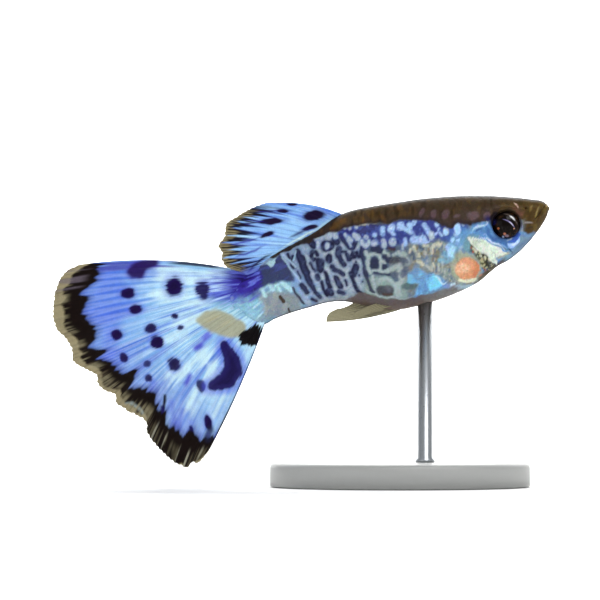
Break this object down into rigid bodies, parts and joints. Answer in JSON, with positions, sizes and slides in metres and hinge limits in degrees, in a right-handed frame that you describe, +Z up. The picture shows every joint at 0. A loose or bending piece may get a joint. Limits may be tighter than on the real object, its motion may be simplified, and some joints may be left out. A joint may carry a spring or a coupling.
{
  "type": "fancy guppy, male, blue spotted fan tail, life-size still model on a display stand",
  "caption": "Life-size male fancy guppy with a spotted blue fan tail and snakeskin flank, held on a plain display stand.",
  "frame": {"origin": "middle of the flat underside of the stand's base", "axes": "+X towards the snout, +Y towards the fish's left side, +Z up"},
  "size_m": [0.0496, 0.018, 0.0291],
  "materials": {
    "back_skin": "glossy wet skin, brown-olive on the back and snout",
    "flank_skin": "glossy scaled skin, blue with a dark net of lines",
    "gill_plate": "pearly gill cover, cream with an orange patch below",
    "eye": "wet, dark and mirror smooth",
    "blue_fin": "satin blue membrane with rays, purple-black spots and a black and tan margin",
    "clear_fin": "thin, clear to olive-tan membrane with fine rays",
    "stand_base": "plain pale grey satin",
    "stand_rod": "plain steel rod"
  },
  "bodies": {
    "root": {"head": "back_skin", "lower_jaw": "back_skin", "gill_cover_left": "gill_plate", "gill_cover_right": "gill_plate", "eye_left": "eye", "eye_right": "eye", "trunk": "flank_skin", "tail": "flank_skin", "dorsal_fin": "blue_fin", "caudal_fin": "blue_fin", "anal_fin": "clear_fin", "pelvic_fin_left": "clear_fin", "pelvic_fin_right": "clear_fin", "pectoral_fin_left": "clear_fin", "pectoral_fin_right": "clear_fin", "stand_base": "stand_base", "stand_rod": "stand_rod"}
  },
  "joints": []
}
